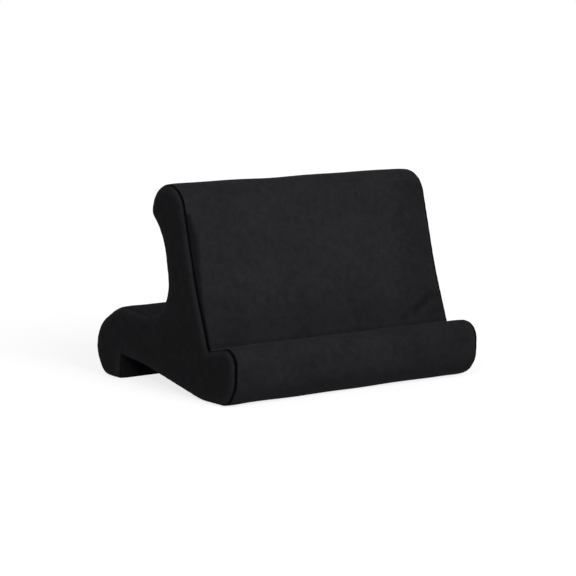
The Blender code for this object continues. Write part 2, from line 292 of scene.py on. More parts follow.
# The rim on both sides of the seam, as (distance from it, inset, x, turn of the normal): the inset grows by
# the turn's sine, x by its cosine
def rimSections():
    start = coverFit["seamPlace"]
    share = np.linspace(0, 1, 201)
    bandTurn = math.radians(coverFit["bandTurn"]) * (1 - share) ** 2
    panelTurn = np.pi / 2 - (np.pi / 2 - math.radians(coverFit["panelTurn"])) * (1 - share) ** 1.5
    sections = []
    for turn, reach, way in ((bandTurn, coverFit["bandReach"], -1), (panelTurn, coverFit["panelReach"], 1)):
        middle = (turn[1:] + turn[:-1]) / 2
        step = way * reach / 200
        inset = np.concatenate([[0.0], np.cumsum(np.sin(middle) * step)])
        x = start + np.concatenate([[0.0], np.cumsum(np.cos(middle) * step)])
        sections.append(np.stack([share * reach, inset, x, turn]))
    # The band's flat part stands proud of the outline by the cover's fullness
    seamInset = -sections[0][1, -1] - coverFit["fullness"]
    for section in sections:
        section[1] += seamInset
    return sections


bandRim, panelRim = rimSections()
rimStart = bandRim[2, -1]
seamNormalTurn = (bandRim[3, 0] + panelRim[3, 0]) / 2
print(f"rim: flat to {rimStart * 1000:.1f} mm, panel at {panelRim[2, -1] * 1000:.1f} mm")


# Values of a rim section at some distances from the seam
def alongRim(section, distance):
    return [np.interp(distance, section[0], row) for row in section[1:]]


# Distances of the groove's rows from the seam, closer where the cloth turns down
def grooveSteps():
    inner, outer = coverFit["seamHalfGap"], coverFit["grooveReach"]
    return inner + (outer - inner) * (1 - np.sin(np.radians(np.linspace(90, 0, 9))))


# Mean of sines of the given wavelengths, which closes on itself round the cover
def ripple(reach, wavelengths, phases):
    total = 0
    for wavelength, phase in zip(wavelengths, phases):
        turns = max(1, round(perimeter / wavelength))
        total = total + np.sin(2 * np.pi * turns * reach / perimeter + phase)
    return total / len(wavelengths)


puckerWaves = (0.0145, 0.0113, 0.0089, 0.0071)
puckerPhases = waves.uniform(0, 2 * np.pi, (2, 4))
softWaves = (0.118, 0.079, 0.052)
softPhases = waves.uniform(0, 2 * np.pi, (3, 3))[:, :2]


# The seam's groove: the cloth's edge rolls in on a quarter ellipse
def grooveDip(distance):
    inner = coverFit["seamHalfGap"]
    share = np.clip((distance - inner) / (coverFit["grooveReach"] - inner), 0, 1)
    return coverFit["grooveDepth"] * (1 - np.sqrt(1 - (1 - share) ** 2))


# Small puckers along a seam, which fade as exp(-distance / reach) away from it
def puckerDip(distance, side, reach):
    depth = coverFit["puckerDepth"] * (1 + ripple(reach, puckerWaves, puckerPhases[side]))
    return depth * np.exp(-distance / coverFit["puckerReach"])


# How far down the backrest each row is, from 0 under the head to 1 in the crease, and its share of it
def placeOnBackrest():
    first = rowReach[np.flatnonzero(rowsOf("headFront") & (rowKeys[:, 1] == 1))[0]]
    down = (rowReach - first) / (rowReach[firstRowOf("crease")] - first)
    return down, smoothStep(down, -0.10, 0.04) * (1 - smoothStep(down, 0.97, 1.0))


downBackrest, onBackrest = placeOnBackrest()

# The painted shade strip on the backrest beside the left seam: places down the backrest, its width there,
# and the share of the width that is fully shaded
leftSeamShadeStrip = {
    "down": (0.035, 0.05, 0.24, 0.66, 1.0),
    "width": (0.0, 0.0065, 0.0130, 0.0058, 0.0030),
    "flat": 0.40,
}


# How much painted shade the strip takes: 1 beside the seam, 0 from the strip's width on
def leftSeamShade(distance):
    width = np.interp(downBackrest, leftSeamShadeStrip["down"], leftSeamShadeStrip["width"], left=0.0, right=0.0)[:, None]
    return (1 - smoothStep(distance, leftSeamShadeStrip["flat"] * width, width + 0.0001)) * (width > 0)


# Tension folds: a bell across each line, which fades towards its ends, with a low ridge on both sides
def foldDip(x, height):
    dip = 0
    for (x0, z0), (x1, z1), depth, width in backrestFolds.values():
        run = np.array([x1 - x0, z1 - z0])
        along = ((x - x0) * run[0] + (height - z0) * run[1]) / (run @ run)
        across = ((x - x0) * run[1] - (height - z0) * run[0]) / np.linalg.norm(run)
        fade = np.clip(1 - (2 * along - 1) ** 2, 0, 1)
        ridge = foldRidge["height"] * np.exp(-((np.abs(across) / width - foldRidge["place"]) ** 2))
        dip = dip + depth * fade * (np.exp(-((across / width) ** 2)) - ridge)
    return dip


# The neck's wrinkles: depth * (1 - cos(2 pi * way round / spacing)) / 2, fading away from the left seam
def wrinkleDip(x):
    fade = np.exp(-(((halfWidth + x) / neckWrinkles["reach"]) ** 2)) * shareNear("neckFoot")[:, None]
    wave = 0.5 - 0.5 * np.cos(2 * np.pi * rowReach / neckWrinkles["spacing"])
    return neckWrinkles["depth"] * wave[:, None] * fade


# The band's columns as (x, inset, turn, distance from the seam): over the flat width, then over the rim
def bandColumns():
    half = zipSizes["slotHalfLength"]
    edge = half - coverFit["edgeZone"]
    middle = np.linspace(-edge, edge, round(2 * edge / coverFit["columnSpacing"]) + 1)
    outer = np.linspace(edge, half, round(coverFit["edgeZone"] / coverFit["edgeColumnSpacing"]) + 1)[1:]
    flat = np.concatenate([-outer[::-1], middle, outer])
    distance = np.concatenate([[coverFit["bandReach"], 0.0025, 0.0020], grooveSteps()[::-1]])
    inset, x, turn = alongRim(bandRim, distance)
    x = np.concatenate([-x[::-1], flat, x])
    inset = np.concatenate([inset[::-1], np.full(len(flat), -coverFit["fullness"]), inset])
    turn = np.concatenate([-turn[::-1], np.zeros(len(flat)), turn])
    flatDistance = rimStart - np.abs(flat) + coverFit["bandReach"]
    return x, inset, turn, np.concatenate([distance[::-1], flatDistance, distance])


columnX, columnInset, columnTurn, columnDistance = bandColumns()


# How far cover and foam sink: a bell curve at the side edges, deeper at the left of the backrest, slow
# waves and the folds
def restingDip(x, height):
    reach, share = rowReach[:, None], onBackrest[:, None]
    bell = np.exp(-(((halfWidth - np.abs(x)) / coverFit["edgeDropReach"]) ** 2))
    loss = 1 - coverFit["dropLoss"] * downBackrest[:, None]
    drop = coverFit["edgeDrop"] + coverFit["backrestDrop"] * share * loss * (x < 0)
    soft = 0
    for wave, (along, across) in zip(softWaves, softPhases):
        soft = soft + ripple(reach, (wave,), (along,)) * np.cos(4.1 * x / wave + across)
    return drop * bell + coverFit["softness"] * soft + foldDip(x, height) * share + wrinkleDip(x)


# Flat points (y, z), or normals, beside one x
def besideX(x, flat):
    return np.column_stack([np.full(len(flat), x), flat])


# A column of the cover at x: the outline at its inset, made fuller or slacker, and its outward normals
def coverColumn(x, inset):
    outline, outward = outlineAt(inset)
    return besideX(x, outline + outward * plumpAt([x])), outward


# A column's normals turned over the rim: (sin angle, outward * cos angle)
def turnedNormals(outward, angle):
    return besideX(math.sin(angle), outward * math.cos(angle))


# The band as a grid of rows and columns, sunk along its normals by its dips and along the seam's in the
# groove
def bandSurface(withHem=True):
    points = np.zeros((len(rowKeys), len(columnX), 3))
    normals, seamNormals = np.zeros_like(points), np.zeros_like(points)
    for j, (x, inset, angle) in enumerate(zip(columnX, columnInset, columnTurn)):
        points[:, j], outward = coverColumn(x, inset)
        normals[:, j] = turnedNormals(outward, angle)
        seamNormals[:, j] = turnedNormals(outward, math.copysign(seamNormalTurn, x))
    left, right = (puckerDip(columnDistance, side, rowReach[:, None]) for side in (0, 1))
    dip = np.where(columnX < 0, left, right) + restingDip(points[:, :, 0], points[:, :, 2])
    if withHem:
        dip += hemDip(columnX)
    groove = np.broadcast_to(grooveDip(columnDistance), dip.shape)
    return points - normals * dip[:, :, None] - seamNormals * groove[:, :, None], normals


# The hems: the cloth folds in at the slot's long edges on a quarter ellipse, as far as the slot's ends
def hemDip(x):
    first, last = slotRows
    out = np.zeros(len(rowKeys))
    out[: first + 1] = rowReach[first] - rowReach[: first + 1]
    out[last:] = rowReach[last:] - rowReach[last]
    share = np.clip(1 - out / coverFit["hemReach"], 0, 1)
    inSlot = 1 - smoothStep(np.abs(x), zipSizes["slotHalfLength"] - 0.0005, zipSizes["slotHalfLength"])
    return coverFit["hemDepth"] * (1 - np.sqrt(1 - share**2))[:, None] * inSlot


# Faces of a grid whose rows close on themselves, which point along row direction times column direction
def gridFaces(rows, columns):
    i = np.arange(rows)[:, None]
    j = np.arange(columns - 1)[None, :]
    k = (i + 1) % rows
    return np.stack([i * columns + j, k * columns + j, k * columns + j + 1, i * columns + j + 1], axis=-1)


# A new object in the scene, at the world origin
def newObject(name, data):
    made = bpy.data.objects.new(name, data)
    scene.collection.objects.link(made)
    return made


# A new mesh object from whole arrays of points and faces
def meshFrom(name, points, faceLists, material):
    mesh = bpy.data.meshes.new(name)
    lists = [np.asarray(group) for group in faceLists]
    faces = [face for group in lists for face in group.reshape(-1, group.shape[-1]).tolist()]
    mesh.from_pydata(np.asarray(points).reshape(-1, 3).tolist(), [], faces)
    mesh.shade_smooth()
    mesh.materials.append(material)
    mesh.update()
    return newObject(name, mesh)


# Rings of an end panel from its seam to the flat field, and their distances from the seam
def panelRings(side):
    bed = np.linspace(coverFit["grooveReach"], coverFit["panelReach"], 7)[1:]
    distance = np.concatenate([grooveSteps(), bed])
    rings = []
    for reach, inset, x, angle in zip(distance, *alongRim(panelRim, distance)):
        ring, outward = coverColumn(side * x, inset)
        ring -= turnedNormals(outward, side * seamNormalTurn) * grooveDip(reach)
        pucker = puckerDip(reach, 0 if side < 0 else 1, rowReach)
        rings.append(ring - turnedNormals(outward, side * angle) * pucker[:, None])
    return np.stack(rings, axis=1), distance


# Whether points lie inside a closed outline, by the crossings of a level line to their right
def insideOutline(points, outline):
    a, b = outline, np.roll(outline, -1, axis=0)
    y, z = points[:, :1], points[:, 1:]
    spans = (a[:, 1] > z) != (b[:, 1] > z)
    rise = np.where(b[:, 1] == a[:, 1], 1, b[:, 1] - a[:, 1])
    return ((y < a[:, 0] + (z - a[:, 1]) * (b[:, 0] - a[:, 0]) / rise) & spans).sum(axis=1) % 2 == 1


# Distance from points to the nearest edge of a closed outline
def distanceTo(points, outline):
    a, run = outline, np.roll(outline, -1, axis=0) - outline
    rel = points[:, None, :] - a
    t = np.clip((rel * run).sum(axis=2) / np.maximum((run**2).sum(axis=1), 1e-12), 0, 1)
    return np.linalg.norm(rel - run * t[:, :, None], axis=2).min(axis=1)


# Field inside an end panel's last ring: staggered points in a Delaunay triangulation
def panelField(ring):
    step = coverFit["panelSpacing"]
    low, high = ring.min(axis=0), ring.max(axis=0)
    y, z = np.meshgrid(np.arange(low[0], high[0], step), np.arange(low[1], high[1], step * 0.866))
    y = y + np.where(np.arange(len(z))[:, None] % 2, step / 2, 0.0)
    points = np.stack([y.ravel(), z.ravel()], axis=1)
    points = points[insideOutline(points, ring)]
    points = points[distanceTo(points, ring) > coverFit["panelRingGap"]]
    every = np.vstack([ring, points])
    edges = [(i, (i + 1) % len(ring)) for i in range(len(ring))]
    found = delaunay_2d_cdt([Vector(p) for p in every.tolist()], edges, [], 1, 1e-7)
    if len(found[0]) != len(every):
        raise ValueError("the end panel's outline touches itself")
    return points, np.array(found[2])


# The cover's swelling: the cloth's values, the most a point may lift, and where the lift fades out
swelling = {
    "voxel": 0.005,
    "pressure": 4.0,
    "frames": 20,
    "heldReach": 0.006,
    "freeReach": 0.020,
    "cap": 0.0011,
    "blur": 0.0065,
    "fade": 0.012,
    "slotFade": (0.008, 0.020),
}


# Cloth simulation on a coarse closed copy, held near the seams, the crease, the ledge and the zip, and
# lifted by pressure elsewhere. Returns rest points and their moves
def swellOfCover():
    points, _ = bandSurface(withHem=False)
    rows, columns = points.shape[:2]
    coarse = meshFrom("coarseCover", points, [gridFaces(rows, columns)], blackVelour)
    bm = bmesh.new()
    bm.from_mesh(coarse.data)
    bmesh.ops.holes_fill(bm, edges=[edge for edge in bm.edges if edge.is_boundary], sides=0)
    bmesh.ops.triangulate(bm, faces=[face for face in bm.faces if len(face.verts) > 4])
    bm.to_mesh(coarse.data)
    bm.free()
    remesh = coarse.modifiers.new("voxels", "REMESH")
    remesh.mode = "VOXEL"
    remesh.voxel_size = swelling["voxel"]
    applyModifiers(coarse)
    rest = pointsOf(coarse)
    seamLine = np.abs(np.abs(rest[:, 0]) - coverFit["seamPlace"])
    seam = np.hypot(seamLine, distanceTo(rest[:, 1:], outlinePoints))
    heldRows = slotRows + [firstRowOf(name) for name in ("crease", "ledgeRoot", "ledgeFoot")]
    held = np.linalg.norm(rest[:, None, 1:] - outlinePoints[heldRows], axis=2).min(axis=1)
    nearest = np.minimum(seam, held)
    grip = 1 - smoothStep(nearest, swelling["heldReach"], swelling["freeReach"])
    group = coarse.vertex_groups.new(name="held")
    for level in np.linspace(0.1, 1.0, 10):
        group.add(np.flatnonzero(np.abs(grip - level) <= 0.05).tolist(), float(level), "REPLACE")
    cloth = coarse.modifiers.new("cloth", "CLOTH")
    cloth.settings.quality = 5
    cloth.settings.use_pressure = True
    cloth.settings.uniform_pressure_force = swelling["pressure"]
    cloth.settings.effector_weights.gravity = 0
    cloth.settings.vertex_group_mass = group.name
    cloth.point_cache.frame_start = 1
    cloth.point_cache.frame_end = swelling["frames"]
    for step in range(1, swelling["frames"] + 1):
        scene.frame_set(step)
    applyModifiers(coarse)
    moved = pointsOf(coarse) - rest
    scene.frame_set(1)
    bpy.data.objects.remove(coarse)
    return rest, moved


def pointsOf(piece):
    flat = np.empty(3 * len(piece.data.vertices))
    piece.data.vertices.foreach_get("co", flat)
    return flat.reshape(-1, 3)


# Keeps the piece as its modifiers show it
def applyModifiers(piece):
    bpy.context.view_layer.update()
    seen = piece.evaluated_get(bpy.context.evaluated_depsgraph_get())
    mesh = bpy.data.meshes.new_from_object(seen)
    piece.modifiers.clear()
    piece.data = mesh


# The swelling at fine points: the coarse moves' mean weighted by exp(-(d / blur)^2), along the normal, and
# capped by cap * tanh(lift / cap)
def swellAt(points, normals):
    cap, blur = swelling["cap"], swelling["blur"]
    if swell is None:
        return np.zeros(points.shape[:-1])
    rest, moved = swell
    flat = points.reshape(-1, 3)
    lifts = []
    for some in np.array_split(flat, max(1, len(flat) // 1500)):
        square = (some**2).sum(axis=1)[:, None] + (rest**2).sum(axis=1) - 2 * some @ rest.T
        weight = np.exp(-np.maximum(square, 0) / blur**2) + 1e-12
        lifts.append(weight @ moved / weight.sum(axis=1, keepdims=True))
    lift = (np.concatenate(lifts) * normals.reshape(-1, 3)).sum(axis=1)
    return (cap * np.tanh(lift / cap)).reshape(points.shape[:-1])


# Feeds an input with another node's output or with a plain value
def feed(tree, entry, value):
    if isinstance(value, bpy.types.NodeSocket):
        tree.links.new(value, entry)
    else:
        entry.default_value = value


# A node with its settings, and its inputs fed by their names or numbers
def addNode(tree, kind, inputs=None, **settings):
    node = tree.nodes.new("ShaderNode" + kind)
    for name, value in settings.items():
        setattr(node, name, value)
    for name, value in (inputs or {}).items():
        feed(tree, node.inputs[name], value)
    return node


def computed(tree, operation, *values, **settings):
    return addNode(tree, "Math", dict(enumerate(values)), operation=operation, **settings).outputs[0]


# A node group with a vector and the given values as inputs. Returns its tree, what enters and what leaves
def newGroup(name, values, outputs):
    tree = bpy.data.node_groups.new(name, "ShaderNodeTree")
    tree.interface.new_socket(name="Vector", in_out="INPUT", socket_type="NodeSocketVector")
    for word, value in values.items():
        socket = tree.interface.new_socket(name=word, in_out="INPUT", socket_type="NodeSocketFloat")
        socket.default_value = value
    for word in outputs:
        tree.interface.new_socket(name=word, in_out="OUTPUT", socket_type="NodeSocketFloat")
    return tree, tree.nodes.new("NodeGroupInput").outputs, tree.nodes.new("NodeGroupOutput").inputs


# The mottle where a look says nothing else; scales are per metre
plainMottle = {
    "Cloud Scale": 30.0,
    "Patch Scale": 150.0,
    "Grain Scale": 1500.0,
    "Cloud Amount": 0.3,
    "Patch Amount": 0.5,
    "Grain Amount": 0.3,
}


# Clouds, patches and grain: the sum of (noise - 0.5) * amount of three noises, for shade and bump
def makeMottleGroup():
    tree, entering, leaving = newGroup("mottle", plainMottle, ("Shade", "Height"))
    both = 0.0
    for word, detail, distortion in (("Cloud", 2.0, 0.3), ("Patch", 3.0, 0.5), ("Grain", 2.0, 0.0)):
        values = {"Vector": entering["Vector"], "Scale": entering[word + " Scale"], "Detail": detail}
        noise = addNode(tree, "TexNoise", {**values, "Roughness": 0.6, "Distortion": distortion})
        centred = computed(tree, "SUBTRACT", noise.outputs["Fac"], 0.5)
        both = computed(tree, "MULTIPLY_ADD", centred, entering[word + " Amount"], both)
    feed(tree, leaving["Shade"], computed(tree, "ADD", both, 0.5, use_clamp=True))
    feed(tree, leaving["Height"], both)
    return tree


# Ribs along a tape and a twill across them, from the UV map in metres
def makeWeaveGroup():
    tree, entering, leaving = newGroup("weave", {"Thread Width": 0.0005, "Slant": 0.7}, ("Height",))
    x, y, _ = addNode(tree, "SeparateXYZ", {0: entering["Vector"]}).outputs
    ribs = []
    for source in (computed(tree, "MULTIPLY_ADD", y, entering["Slant"], x), y):
        count = computed(tree, "DIVIDE", source, entering["Thread Width"])
        ribs.append(computed(tree, "SINE", computed(tree, "MULTIPLY", count, 2 * math.pi)))
    crossed = computed(tree, "MULTIPLY", *ribs)
    feed(tree, leaving["Height"], computed(tree, "MULTIPLY_ADD", crossed, 0.5, 0.5))
    return tree


mottle = makeMottleGroup()
weave = makeWeaveGroup()


# A material whose colour runs from dark to light with the mottle, and whose bump follows it
def mottledMaterial(name, look):
    made = bpy.data.materials.new(name)
    made.use_nodes = True
    tree = made.node_tree
    place = addNode(tree, "TexCoord").outputs["Object"]
    spots = addNode(tree, "Group", {"Vector": place, **look["mottle"]}, node_tree=mottle).outputs
    ramp = addNode(tree, "ValToRGB", {"Fac": spots["Shade"]})
    dark, light = ramp.color_ramp.elements
    dark.position, light.position = look.get("ramp", (0.2, 0.8))
    dark.color, light.color = (*look["dark"], 1), (*look["light"], 1)
    colour = ramp.outputs["Color"]
    # Painted shade and painted highlight: the point attribute darkens or lightens the colour
    if "paintedShading" in look:
        paintedShading = addNode(tree, "Attribute", attribute_name="paintedShading").outputs["Fac"]
        values = {"Value": paintedShading, "To Min": 1.0, "To Max": 1.0 - look["paintedShading"]}
        shade = addNode(tree, "MapRange", values, clamp=False).outputs["Result"]
        colour = addNode(tree, "VectorMath", {0: colour, "Scale": shade}, operation="SCALE").outputs[0]
    low, high = look["roughness"]
    rough = addNode(tree, "MapRange", {"Value": spots["Shade"], "To Min": low, "To Max": high})
    relief = {"Height": spots["Height"], "Strength": look["bump"], "Distance": look["bumpDistance"]}
    bump = addNode(tree, "Bump", relief)
    fed = {"Base Color": colour, "Roughness": rough.outputs["Result"], "Normal": bump.outputs["Normal"]}
    shader = tree.nodes["Principled BSDF"]
    for socket, value in {**fed, **look.get("shader", {})}.items():
        feed(tree, shader.inputs[socket], value)
    return made


# Brushed, partly crushed pile: patches a few millimetres across over a fine grain, with a soft sheen
velourLook = {
    "dark": (0.0108, 0.0107, 0.0119),
    "light": (0.0250, 0.0248, 0.0272),
    "mottle": {
        "Cloud Scale": 24.0,
        "Patch Scale": 145.0,
        "Grain Scale": 560.0,
        "Cloud Amount": 0.38,
        "Patch Amount": 0.60,
        "Grain Amount": 0.24,
    },
    # How strongly the painted shade darkens the colour
    "paintedShading": 0.98,
    "roughness": (0.80, 0.95),
    "bump": 0.5,
    "bumpDistance": 0.0006,
    "shader": {
        "Sheen Weight": 0.018,
        "Sheen Roughness": 0.5,
        "Sheen Tint": (0.80, 0.82, 0.90, 1.0),
        "Specular IOR Level": 0.015,
    },
}
foamLook = {
    "dark": (0.34, 0.34, 0.325),
    "light": (0.50, 0.50, 0.475),
    # How strongly the painted shade darkens the colour
    "paintedShading": 0.96,
    "ramp": (0.3, 0.6),
    "mottle": {"Patch Scale": 900.0, "Grain Scale": 2600.0, "Patch Amount": 1.2, "Grain Amount": 0.5},
    "roughness": (0.85, 0.98),
    "bump": 1.0,
    "bumpDistance": 0.0008,
    "shader": {"Specular IOR Level": 0.2},
}
nylonLook = {
    "dark": (0.009, 0.009, 0.010),
    "light": (0.016, 0.016, 0.017),
    "mottle": {"Patch Scale": 300.0, "Grain Scale": 4000.0, "Patch Amount": 0.6, "Grain Amount": 0.3},
    "roughness": (0.30, 0.42),
    "bump": 0.1,
    "bumpDistance": 0.0001,
}
zincLook = {
    "dark": (0.045, 0.045, 0.049),
    "light": (0.075, 0.075, 0.080),
    "mottle": {"Patch Scale": 500.0, "Grain Scale": 5000.0, "Patch Amount": 0.8, "Grain Amount": 0.4},
    "roughness": (0.28, 0.40),
    "bump": 0.15,
    "bumpDistance": 0.0001,
    "shader": {"Metallic": 0.9},
}
tapeLook = {
    "dark": (0.008, 0.008, 0.009),
    "light": (0.017, 0.017, 0.018),
    "mottle": {"Patch Scale": 260.0, "Grain Scale": 2400.0, "Patch Amount": 0.4, "Grain Amount": 0.5},
    "roughness": (0.75, 0.88),
    "bump": 0.3,
    "bumpDistance": 0.0002,
    "shader": {"Sheen Weight": 0.02, "Specular IOR Level": 0.12},
}
blackVelour = mottledMaterial("blackVelour", velourLook)
greyFoam = mottledMaterial("greyFoam", foamLook)
blackNylon = mottledMaterial("blackNylon", nylonLook)
darkZinc = mottledMaterial("darkZinc", zincLook)
wovenTape = mottledMaterial("wovenTape", tapeLook)
tapeTree = wovenTape.node_tree
tapeUv = addNode(tapeTree, "UVMap", uv_map="lengths").outputs["UV"]
threads = addNode(tapeTree, "Group", {"Vector": tapeUv}, node_tree=weave).outputs["Height"]
threadBump = addNode(tapeTree, "Bump", {"Height": threads, "Strength": 0.8, "Distance": 0.00012})
feed(tapeTree, tapeTree.nodes["Bump"].inputs["Normal"], threadBump.outputs["Normal"])
print("materials made: velour, foam, tape, nylon, zinc")

swell = None
swell = swellOfCover()
print(f"cover simulated: {len(swell[0])} points, largest move {np.abs(swell[1]).max() * 1000:.1f} mm")


# Keeps the wall thinner in the seam's groove, where the cloth turns tightly
def giveWall(piece, distance):
    group = piece.vertex_groups.new(name="wall")
    near = distance < coverFit["thinReach"]
    group.add(np.flatnonzero(~near).tolist(), 1.0, "REPLACE")
    group.add(np.flatnonzero(near).tolist(), coverFit["thinWall"], "REPLACE")
    wall = piece.modifiers.new("wall", "SOLIDIFY")
    wall.thickness = coverFit["thickness"]
    wall.offset = -1
    wall.use_rim = True
    wall.vertex_group = group.name


# Amounts of painted shade (up to 1) and painted highlight (down to -0.6) on the cover. Ranges are shares
# down the backrest, or metres
paintedTone = {
    "low": 0.26,
    "lowFrom": (0.45, 0.95),
    "right": 0.25,
    "rightFrom": (0.070, 0.132),
    "rightFade": (0.4, 0.9),
    "rightLoss": 0.6,
    "lip": -0.03,
    "lipFront": 0.14,
    "lipFrontFrom": 0.2,
    "lipCrest": 0.14,
    "crestReach": 0.005,
    "lipRight": 0.12,
    "lipRightFrom": (-0.02, 0.12),
    "deck": -0.6,
    "strip": 0.62,
    "fold": 0.38,
    "foldDepth": 0.002,
    "crease": 0.35,
    "creaseReach": 0.002,
    "panelRim": -0.40,
    "panelRimFrom": (0.003, 0.0115),
    "groove": (0.0009, 0.0022),
    "ledgeSeam": 0.35,
    "deckSeam": 0.15,
}


# Stores the painted shade (up to 1) and painted highlight (down to -0.6) that the material reads
def storePaintedShading(piece, shadingLevels):
    layer = piece.data.attributes.new("paintedShading", "FLOAT", "POINT")
    layer.data.foreach_set("value", np.clip(shadingLevels, -0.6, 1).astype(np.float32))


# Painted shade in the seam's groove: full next to the seam, fading out across the groove
def grooveShade(distance):
    return 1 - smoothStep(distance, *paintedTone["groove"])


# The seam's painted shade is weaker along the ledge and weakest along the deck
nearDeck, nearLedge = shareNear("deckEnd", "neckFoot"), shareNear("ledgeRoot", "ledgeFoot")
seamShade = 1 - (1 - paintedTone["ledgeSeam"]) * nearLedge - (1 - paintedTone["deckSeam"]) * nearDeck


# Painted shade over the band: darker low on the backrest, down the lip's front, on the lip's crest and
# towards the right; painted highlight on the deck
def paintedBandShading():
    across, down = columnX[None, :], downBackrest[:, None]
    fromEnd = rowReach[-1] - rowReach
    right = paintedTone["right"] * (1 - paintedTone["rightLoss"] * smoothStep(down, *paintedTone["rightFade"])) * (down < 1)
    low = paintedTone["low"] * smoothStep(down, *paintedTone["lowFrom"])
    backrest = low + right * smoothStep(across, *paintedTone["rightFrom"])
    foot = fromEnd[firstRowOf("lipShoulder")]
    onFoot = rowsOf("lipFoot")[:, None]
    front = np.where(onFoot, 1.0, 1 - smoothStep(fromEnd, paintedTone["lipFrontFrom"] * foot, foot)[:, None])
    crest = np.exp(-(((fromEnd - foot) / paintedTone["crestReach"]) ** 2))[:, None]
    lip = paintedTone["lip"] + paintedTone["lipFront"] * front + paintedTone["lipCrest"] * crest
    lip = lip + paintedTone["lipRight"] * smoothStep(across, *paintedTone["lipRightFrom"])
    onLip = np.where(onFoot, 1.0, smoothStep(down, 1.0, 1.04))
    return backrest * (onBackrest[:, None] > 0) + lip * onLip + paintedTone["deck"] * nearDeck[:, None]


# The cover band, open at the zip slot, with its wall turned inwards
def makeBand():
    points, normals = bandSurface()
    points += normals * (swellAt(points, normals) * looseness())[:, :, None]
    points[:, :, 2] = np.maximum(points[:, :, 2], 0.0)
    rows, columns = points.shape[:2]
    faces = gridFaces(rows, columns)
    cut = np.zeros(faces.shape[:2], dtype=bool)
    cut[slotRows[0] : slotRows[1]] = np.abs(columnX[:-1] + columnX[1:]) / 2 < zipSizes["slotHalfLength"]
    used = np.ones((rows, columns), dtype=bool)
    used[slotRows[0] + 1 : slotRows[1]] = np.abs(columnX) > zipSizes["slotHalfLength"] - 1e-6
    index = np.cumsum(used.ravel()) - 1
    band = meshFrom("coverBand", points[used], [index[faces[~cut]]], blackVelour)
    # Painted shade along the tension folds and in the crease
    fold = foldDip(points[:, :, 0], points[:, :, 2]) * onBackrest[:, None] / paintedTone["foldDepth"]
    # Painted shade strip beside the left seam
    strip = leftSeamShade(columnDistance[None, :]) * (columnX < 0)
    crease = np.exp(-(((rowReach[firstRowOf("crease")] - rowReach) / paintedTone["creaseReach"]) ** 2))[:, None]
    shadingLevels = paintedBandShading() + paintedTone["strip"] * strip + paintedTone["fold"] * fold + paintedTone["crease"] * crease
    # The seam's groove takes painted shade
    shadingLevels = np.maximum(shadingLevels, grooveShade(columnDistance)[None, :] * seamShade[:, None])
    storePaintedShading(band, shadingLevels[used])
    giveWall(band, np.broadcast_to(columnDistance, (rows, columns))[used])
    return band, points


# How much of the swelling each point of the band keeps: none over the rim or beside the slot
def looseness():
    across = smoothStep(rimStart - np.abs(columnX), 0.0, swelling["fade"])
    middle = (rowReach[slotRows[0]] + rowReach[slotRows[1]]) / 2
    along = smoothStep(np.abs(rowReach - middle), *swelling["slotFade"])
    return along[:, None] * across[None, :]


panelWaves = {"lengths": (0.021, 0.017), "phases": (1.3, 0.4)}


# An end panel: the rings over its rim, then its field, lifted by the swelling
def makePanel(name, side):
    rings, ringDistance = panelRings(side)
    rows, columns = rings.shape[:2]
    ringFaces = gridFaces(rows, columns)
    field, triangles = panelField(rings[:, -1, 1:])
    inner = besideX(side * panelRim[2, -1], field)
    (a, b), (c, d) = panelWaves.values()
    soft = np.sin(field[:, 0] / a + c) * np.sin(field[:, 1] / b + d + side)
    margin = smoothStep(distanceTo(field, rings[:, -1, 1:]), 0.0, swelling["fade"])
    lift = swellAt(inner, np.tile([side, 0.0, 0.0], (len(inner), 1))) + coverFit["softness"] * soft
    inner[:, 0] += side * lift * margin
    # The field's ring is the last column of the rim's grid
    lastRing = np.arange(rows) * columns + columns - 1
    triangles = np.concatenate([lastRing, rows * columns + np.arange(len(field))])[triangles]
    if side < 0:
        ringFaces, triangles = ringFaces[..., ::-1], triangles[:, ::-1]
    points = np.vstack([rings.reshape(-1, 3), inner])
    points[:, 2] = np.maximum(points[:, 2], 0.0)
    panel = meshFrom(name, points, [ringFaces, triangles], blackVelour)
    fieldDistance = distanceTo(field, rings[:, -1, 1:]) + coverFit["panelReach"]
    distance = np.concatenate([np.tile(ringDistance, rows), fieldDistance])
    # A painted highlight on the panel's rim beside the seam, and the seam's painted shade in the groove
    paintedRimLight = -paintedTone["panelRim"] * (1 - smoothStep(distance, *paintedTone["panelRimFrom"]))
    groove = grooveShade(distance)
    groove[: rows * columns] *= np.repeat(seamShade, columns)
    storePaintedShading(panel, groove * (1 + paintedRimLight) - paintedRimLight)
    giveWall(panel, distance)
    return panel


# Hides the CAD piece a new one stands for, and hangs the new one on the body it rides on
def declare(piece, node, body="cushion"):
    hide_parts(node)
    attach(piece, body)


coverBand, bandPoints = makeBand()
for piece, node in (
    (coverBand, "cover_band"),
    (makePanel("coverSideLeft", -1), "cover_side_left"),
    (makePanel("coverSideRight", 1), "cover_side_right"),
):
    declare(piece, node)
print(f"cover sewn: {len(coverBand.data.polygons)} faces in the band")

# The cut foam block inside
foamBlock = {
    "rimRadius": 0.005,
    "underCover": 0.0020,
    "columnSpacing": 0.006,
    "reliefDepth": 0.0019,
    "reliefHalfWidth": 0.0124,
    "reliefEase": 0.0018,
}
